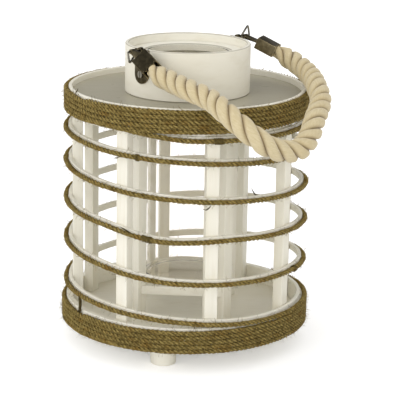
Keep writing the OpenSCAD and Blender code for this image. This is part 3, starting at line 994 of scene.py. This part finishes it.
class LanternColours(bpy.types.PropertyGroup):
    """Colours that a user may change"""

    paint: colour_property("Paint", "Satin paint on the wood", (0.86, 0.83, 0.73))
    # painted shade: the lid is given this darker colour in place of the shade in its recess; only the lid
    # uses it
    board: colour_property("Boards", "Paint on the lid and the base", (0.405, 0.378, 0.29))
    jute: colour_property("Jute", "The twine", (0.188, 0.136, 0.032))
    rope: colour_property("Rope", "The handle's rope", (0.6, 0.515, 0.335))
    metal: colour_property("Metal", "The handle's clamps and brackets", (0.15, 0.125, 0.075))


class LANTERN_OT_stage(bpy.types.Operator):
    """Makes the camera, the floor and the studio light"""

    bl_idname = "lantern.stage"
    bl_label = "Stage"

    def execute(self, context):
        make_camera(context.scene)
        make_floor()
        make_lights(context.scene)
        return {"FINISHED"}


AIM = Vector((13.8, 0, 135.5)) * MM
CAMERA_DISTANCE = 1.677
CAMERA_PITCH = math.radians(14.95)
CAMERA_ROLL = math.radians(0.97)
CAMERA_LENS = 155.6
SENSOR = 36.0
FLOOR_GLOW = 0.3
# Name, place, size and power of each light
LIGHTS = [("key_light", (-1.25, -2.0, 1.15), 1.1, 7.0), ("front_light", (0.2, -2.6, 0.45), 1.3, 8.0)]


def make_camera(scene):
    data = bpy.data.cameras.new("camera")
    data.lens = CAMERA_LENS
    data.sensor_width = SENSOR
    data.clip_start = 0.05
    camera = new_object("camera", data)
    back = Vector((0, -math.cos(CAMERA_PITCH), math.sin(CAMERA_PITCH)))
    level = (-back).to_track_quat("-Z", "Y").to_matrix().to_4x4()
    place = Matrix.Translation(AIM + back * CAMERA_DISTANCE)
    camera.matrix_world = place @ level @ Matrix.Rotation(CAMERA_ROLL, 4, "Z")
    scene.camera = camera


def make_floor():
    """A wide pale floor that shows white and keeps the lantern's shadow."""
    half = 6.0
    corners = [(-half, -half, 0), (half, -half, 0), (half, half, 0), (-half, half, 0)]
    floor = mesh_object("floor", corners, [(0, 1, 2, 3)], flat=True)
    made, tree, shader = new_finish("pale_floor", 0.9)
    shader.inputs["Base Color"].default_value = (0.93, 0.93, 0.93, 1)
    shader.inputs["Specular IOR Level"].default_value = 0.0
    path = put(tree, "ShaderNodeLightPath")
    seen = maths(tree, "MAXIMUM", path.outputs["Is Camera Ray"], path.outputs["Is Transmission Ray"])
    lift = times(tree, seen, FLOOR_GLOW)
    shader.inputs["Emission Color"].default_value = (1, 1, 1, 1)
    tree.links.new(lift, shader.inputs["Emission Strength"])
    floor.data.materials.append(made)


def make_lights(scene):
    """A white surround, brightest at the left front, a soft key light there and a low front light."""
    world = bpy.data.worlds.new("surround")
    scene.world = world
    world.use_nodes = True
    tree = world.node_tree
    ambient = tree.nodes["Background"]
    path = put(tree, "ShaderNodeLightPath")
    seen = maths(tree, "MAXIMUM", path.outputs["Is Camera Ray"], path.outputs["Is Transmission Ray"])
    around = put(tree, "ShaderNodeTexCoord").outputs["Generated"]
    way = put(tree, "ShaderNodeSeparateXYZ", {0: around}).outputs
    mirrored = ramp(tree, way[2], [(0.02, 1), (0.16, 0.25), (0.5, 0.12), (0.95, 0.12)])
    leftward = maths(tree, "ADD", times(tree, way[0], -0.75), times(tree, way[1], -0.25))
    soft = ranged(tree, leftward, 0.88, 1.2, -0.8, 0.8)
    glossy = path.outputs["Is Glossy Ray"]
    plain = maths(tree, "MAXIMUM", seen, times(tree, soft, maths(tree, "SUBTRACT", 1.0, seen)))
    strength = maths(
        tree, "ADD", times(tree, glossy, mirrored), times(tree, maths(tree, "SUBTRACT", 1.0, glossy), plain)
    )
    ambient.inputs["Color"].default_value = (1, 1, 1, 1)
    tree.links.new(strength, ambient.inputs["Strength"])
    for name, place, size, power in LIGHTS:
        data = bpy.data.lights.new(name, "AREA")
        data.size = size
        data.energy = power
        light = new_object(name, data)
        toward = (AIM - Vector(place)).to_track_quat("-Z", "Y")
        light.matrix_world = Matrix.Translation(place) @ toward.to_matrix().to_4x4()


class LANTERN_OT_handle_rope(bpy.types.Operator):
    """Makes the three-strand rope of the handle"""

    bl_idname = "lantern.handle_rope"
    bl_label = "Handle rope"

    def execute(self, context):
        sizes = context.scene.lantern_sizes
        route = rope_route(8)
        rope = laid_cord(
            "handle_rope_laid",
            [route],
            finish("rope"),
            radius=ROPE_D / 2,
            groove_depth=0.4,
            groove_sharpness=3.6,
            lay_length=sizes.rope_lay,
            points_around=96,
            step=1.3 * MM,
            wobble=0.4 * MM,
            wobble_scale=40.0,
            slub=0.02,
            seed=3,
            end_share=0.62,
            end_length=15 * MM,
        )
        finish_piece(rope, "handle", nodes=["handle_rope"])
        return {"FINISHED"}


class LANTERN_OT_turned_parts(bpy.types.Operator):
    """Makes the discs, hoops, collar, ledge and feet"""

    bl_idname = "lantern.turned_parts"
    bl_label = "Discs, hoops and collar"

    def execute(self, context):
        edge = context.scene.lantern_sizes.edge_radius
        hole = GLASS_OUT + GLASS_ROOM
        collar_in = COLLAR_OUT - COLLAR_WALL

        def ring(name, node, inner, outer, coat, radius):
            bottom, top = low(node).z, high(node).z
            outline = [(inner, bottom), (outer, bottom), (outer, top), (inner, top)]
            piece = turned(name, outline, radius)
            finish_piece(piece, "drum", finish(coat[1]), [node])

        wood, board = ("painted_wood", "level_paint"), ("painted_board", "board_paint")
        collar = ("painted_wood", "collar_paint")
        ring("base_hoop_ring", "base_hoop", DRUM_R, BASE_HOOP_OUT, wood, edge)
        ring("top_hoop_ring", "top_hoop", DRUM_R, TOP_HOOP_OUT, wood, 1.5 * edge)
        # the lid's darker paint is painted shade
        ring("lid_board", "lid_disc", hole, DRUM_R, board, edge)
        ring("collar_ring", "collar", collar_in, COLLAR_OUT, collar, 1.6 * edge)
        ring("ledge_ring", "collar_ledge", hole, collar_in, collar, 2 * edge)
        base = [(0, BASE_Z), (DRUM_R, BASE_Z), (DRUM_R, FLOOR_Z), (0, FLOOR_Z)]
        finish_piece(
            turned("base_board", base, edge, solid=True),
            "drum",
            finish("floor_paint"),
            ["base_disc"],
        )
        for i in (1, 2, 3):
            node = f"foot_{i}"
            a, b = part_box(node)
            centre = (a + b) / 2
            top_r = (b.x - a.x) / 2
            outline = [(0, a.z), (top_r - 1 * MM, a.z), (top_r, b.z), (0, b.z)]
            foot = turned(f"foot_{i}_turned", outline, 1.2 * edge, solid=True, around=64, centre=centre[:2])
            finish_piece(foot, "drum", finish("upright_paint"), [node])
        return {"FINISHED"}


class LANTERN_OT_slats(bpy.types.Operator):
    """Makes the slats, posts and rails with softened edges"""

    bl_idname = "lantern.slats"
    bl_label = "Slats, posts and rails"

    def execute(self, context):
        sizes = context.scene.lantern_sizes
        nodes = [f"slat_{i}" for i in range(1, 9)]
        nodes += [f"{kind}_{i}" for kind in ("post", "rail") for i in range(1, 5)]
        for node in nodes:
            coat = "level_paint" if node.startswith("rail") else "upright_paint"
            piece = softened(node + "_soft", node, sizes.edge_radius)
            finish_piece(piece, "drum", finish(coat), [node])
        return {"FINISHED"}


def lath_section(azimuth):
    """The lath's rounded section at an azimuth, between the hoops."""
    twine = twine_height(azimuth)
    bottom = max(twine - TWINE_LIFT, high("base_hoop").z + HOOP_ROOM)
    top = min(twine - TWINE_LIFT + LATH_H, low("top_hoop").z - HOOP_ROOM)
    top = max(top, bottom + 1 * MM)
    outline = [(LATH_IN, bottom), (LATH_OUT, bottom), (LATH_OUT, top), (LATH_IN, top)]
    return [azimuth_point(azimuth, p.x, p.y) for p in rounded(outline, 0.45 * MM, 2)]


class LANTERN_OT_laths(bpy.types.Operator):
    """Makes the white lath that winds round the slats under the twine"""

    bl_idname = "lantern.laths"
    bl_label = "Laths"

    def execute(self, context):
        ends = [START_AZ + k * TURN for k in range(FULL_TURNS + 1)] + [LATH_END]
        nodes = [f"lath_turn_{k}" for k in range(1, FULL_TURNS + 1)] + ["lath_tail"]
        for node, first, last in zip(nodes, ends, ends[1:]):
            count = int((last - first) / 2.5)
            rings = [lath_section(first + (last - first) * i / count) for i in range(count + 1)]
            piece = even_shading(loft(node + "_bent", rings))
            finish_piece(piece, "drum", finish("level_paint"), [node])
        return {"FINISHED"}


class LANTERN_OT_jute(bpy.types.Operator):
    """Winds the twine: both bands, the spiral, its splices and the tie"""

    bl_idname = "lantern.jute"
    bl_label = "Jute twine"

    def execute(self, context):
        sizes = context.scene.lantern_sizes
        jute, dark = finish("jute"), finish("dark_jute")

        def wound(name, paths, coat, node=None, diameter=TWINE_D, **values):
            usual = {"lay_length": sizes.twine_lay, "wobble": sizes.twine_wander, "slub": 0.16}
            piece = laid_cord(name, paths, coat, radius=0.55 * diameter, **(usual | values))
            return finish_piece(piece, "drum", nodes=[node] if node else [])

        windings = {
            "top": band_route("top_jute_band", TOP_HOOP_OUT, -52, BAND_ROWS * TURN - 70),
            "base": band_route("base_jute_band", BASE_HOOP_OUT, -52, BAND_ROWS * TURN - 30),
        }
        for seed, (side, route) in enumerate(windings.items()):
            band = wound(f"{side}_band_wound", [route], jute, f"{side}_jute_band", seed=seed)
            self.fuzz(f"{side}_band_fibres", band, jute, sizes, seed)
        route = spiral_route(SPIRAL_START, SPIRAL_END)
        spiral = wound("spiral_twine_wound", [route], jute, "spiral_twine", seed=7)
        self.fuzz("spiral_fibres", spiral, jute, sizes, 9)
        wraps = [splice_route(*s) for s in SPLICES]
        wound(
            "splices_bound",
            wraps,
            finish("bound_jute"),
            "twine_splices",
            diameter=1.4 * MM,
            lay_length=5 * MM,
            step=0.5 * MM,
            wobble=1.3 * MM,
            wobble_scale=260.0,
            points_around=9,
            level=False,
        )
        wound(
            "twine_tie_strand",
            [tie_route()],
            dark,
            "twine_tie",
            diameter=2.8 * MM,
            level=False,
            step=0.7 * MM,
        )
        wound(
            "frayed_ends",
            [fray_route(f) for f in FRAYS],
            dark,
            diameter=1.2 * MM,
            lay_length=5 * MM,
            step=0.6 * MM,
            wobble=0.3 * MM,
            points_around=9,
            level=False,
            end_share=0.3,
            end_length=5 * MM,
        )
        return {"FINISHED"}

    def fuzz(self, name, over, coat, sizes, seed):
        fibres = stray_fibres(name, over, coat, density=sizes.stray_density, seed=seed)
        finish_piece(fibres, "drum")


# Azimuth, half width in degrees and number of wraps of each splice
SPLICES = [(15, 2.3, 5), (338, 0.8, 3), (1063, 2.4, 5), (1504, 1.2, 3)]
TIE_AZ = 1743
TIE_SWAY, TIE_DRIFT = 1.6, 0.8  # degrees
TIE_BOW = 0.8 * MM


def splice_route(azimuth, half_width, wraps):
    """A thin strand bound tightly round the spiral twine."""
    steps = wraps * 14
    reach = TWINE_D / 2 + 0.3 * MM
    points = []
    for k in range(steps + 1):
        a = azimuth + half_width * (2 * k / steps - 1)
        phase = math.tau * wraps * k / steps
        out, up = reach * math.cos(phase), reach * math.sin(phase)
        points.append(azimuth_point(a, twine_radius(a) + out, twine_height(a) + up))
    return points


# Loose ends of the twine: azimuth, height over the twine and distance outwards of their points
FRAYS = [
    [(755, 5.5, 0.2), (753, 6.2, 1.4), (752, 8.5, 2.2), (750.5, 13, 2.6)],
    [(732, -1.5, 1.0), (731, -4, 2.2), (729.5, -6.5, 2.4), (728, -5.5, 2.0)],
    [(330, -1.5, 1.0), (328, -3.5, 1.8), (326, -4.6, 2.0)],
    [(1056, 1.5, 1.0), (1053, 3.6, 1.8), (1050, 4.8, 2.2)],
    [(-62, 21, 1.2), (-60, 24, 1.6), (-59, 27, 1.2)],
]


def fray_route(points):
    """A loose end, given from the twine outwards."""
    return [
        azimuth_point(a, twine_radius(a) + out * MM, twine_height(a) + up * MM) for a, up, out in points
    ]


def tie_route():
    """A strand that hangs from the last turn to the top of the base band, with a slight bow."""
    top = twine_height(TIE_AZ)
    bottom = row_height("base_jute_band", 0)
    radius = BASE_HOOP_OUT + 2 * MM
    points = []
    for k in range(13):
        t = k / 12
        bow = math.sin(t * math.pi)
        azimuth = TIE_AZ + TIE_SWAY * bow - TIE_DRIFT * t
        points.append(azimuth_point(azimuth, radius + TIE_BOW * bow, top + (bottom - top) * t))
    return points


class LANTERN_OT_glass(bpy.types.Operator):
    """Makes the glass cylinder"""

    bl_idname = "lantern.glass"
    bl_label = "Glass cylinder"

    def execute(self, context):
        bottom, top = low("glass_cylinder").z, high("glass_cylinder").z
        inner = GLASS_OUT - GLASS_WALL
        hollow, foot = 0.6 * MM, 6 * MM  # the floor stands on a rim
        outline = [
            (0, bottom + hollow),
            (GLASS_OUT - foot - 2 * MM, bottom + hollow),
            (GLASS_OUT - foot, bottom),
            (GLASS_OUT, bottom),
            (GLASS_OUT, top),
            (inner, top),
            (inner, bottom + GLASS_FLOOR),
            (0, bottom + GLASS_FLOOR),
        ]
        piece = turned("glass_sleeve", outline, 1.2 * MM, steps=5, solid=True)
        coat = finish("clear_glass")
        finish_piece(piece, "glass", coat, ["glass_cylinder"])
        return {"FINISHED"}


class LANTERN_OT_hardware(bpy.types.Operator):
    """Makes the brackets, links and rope clamps, and dresses the screws, nails and dowels"""

    bl_idname = "lantern.hardware"
    bl_label = "Handle hardware"

    def execute(self, context):
        dark, bright = finish("dark_nickel"), finish("bright_nickel")
        aged = finish("aged_nickel")
        for side in ("front", "rear"):
            bracket = softened(f"bracket_{side}_plate", f"bracket_{side}", 0.25 * MM)
            finish_piece(bracket, "drum", aged, [f"bracket_{side}"])
            clamp = softened(f"clamp_{side}_crimped", f"clamp_{side}", 0.3 * MM)
            finish_piece(clamp, "handle", dark, [f"clamp_{side}"])
            link = wire_link(f"link_{side}_bent", f"link_{side}", 1 if side == "rear" else -1)
            finish_piece(link, "handle", bright, [f"link_{side}"])
        for node, coat in (
            ("bracket_screws", bright),
            ("base_hoop_nails", finish("nail_steel")),
            ("top_hoop_nails", finish("nail_steel")),
            ("lath_nails", finish("nail_steel")),
            ("foot_dowels", finish("beech")),
        ):
            mesh = frame["nodes"][node].data
            mesh.materials.clear()
            mesh.materials.append(coat)
        return {"FINISHED"}


WIRE_R = 0.95 * MM
# The link's ends and its far corner, along the hinge
LINK_PIN = COLLAR_OUT + 1.55 * MM
LINK_OUT = COLLAR_OUT + 17.05 * MM
LINK_LEAN = 2 * MM
LINK_TAIL = 4 * MM


def wire_link(name, node, side):
    """A triangle bent from wire, whose straight side is the hinge pin."""
    a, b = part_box(node)
    up = b.z - BAIL_POINT.z > BAIL_POINT.z - a.z
    height = (b.z - BAIL_POINT.z if up else a.z - BAIL_POINT.z) + (-WIRE_R if up else WIRE_R)
    corners = [(LINK_PIN, 0), (LINK_OUT, 0), (LINK_OUT - LINK_LEAN, height), (LINK_PIN + LINK_TAIL, 0)]
    path = [BAIL_POINT + ALONG * side * x + Vector((0, 0, z)) for x, z in softened_line(corners, 1.4 * MM)]
    return tube(name, path, WIRE_R, 14)


def softened_line(corners, radius, steps=5):
    """An open line of (x, z) corners whose inner corners are rounded."""
    line = rounded(corners, radius, steps, sharp={0, len(corners) - 1})
    return [(p.x, p.y) for p in line]


def tube(name, path, radius, sides):
    """A round wire along a path in the hinge's upright plane, with flat ends."""
    last = len(path) - 1
    side = ALONG.cross(Vector((0, 0, 1))).normalized()
    turns = [math.tau * k / sides for k in range(sides)]
    rings = []
    for i, p in enumerate(path):
        way = (path[min(i + 1, last)] - path[max(i - 1, 0)]).normalized()
        over = side.cross(way).normalized()
        rings.append([p + radius * (side * math.cos(t) + over * math.sin(t)) for t in turns])
    return loft(name, rings)


class LANTERN_PT_panel(bpy.types.Panel):
    """Lists the lantern's sizes, colours and pieces"""

    bl_label = "Lantern"
    bl_idname = "LANTERN_PT_panel"
    bl_space_type = "VIEW_3D"
    bl_region_type = "UI"
    bl_category = "Lantern"

    def draw(self, context):
        column = self.layout.column()
        for group in (context.scene.lantern_sizes, context.scene.lantern_colours):
            for name in group.__annotations__:
                column.prop(group, name)
        for maker in OPERATORS:
            column.operator(maker.bl_idname)


OPERATORS = (
    LANTERN_OT_stage,
    LANTERN_OT_handle_rope,
    LANTERN_OT_turned_parts,
    LANTERN_OT_slats,
    LANTERN_OT_laths,
    LANTERN_OT_jute,
    LANTERN_OT_glass,
    LANTERN_OT_hardware,
)
CLASSES = (LanternSizes, LanternColours, *OPERATORS, LANTERN_PT_panel)


def register():
    for cls in CLASSES:
        bpy.utils.register_class(cls)
    bpy.types.Scene.lantern_sizes = bpy.props.PointerProperty(type=LanternSizes)
    bpy.types.Scene.lantern_colours = bpy.props.PointerProperty(type=LanternColours)


def unregister():
    del bpy.types.Scene.lantern_colours
    del bpy.types.Scene.lantern_sizes
    for cls in reversed(CLASSES):
        bpy.utils.unregister_class(cls)


def main():
    register()
    bpy.context.scene.view_settings.view_transform = "Standard"
    bpy.ops.lantern.stage()
    bpy.ops.lantern.handle_rope()
    bpy.ops.lantern.turned_parts()
    bpy.ops.lantern.slats()
    bpy.ops.lantern.laths()
    bpy.ops.lantern.jute()
    bpy.ops.lantern.glass()
    bpy.ops.lantern.hardware()
    bpy.context.view_layer.update()


if __name__ == "__main__":
    main()
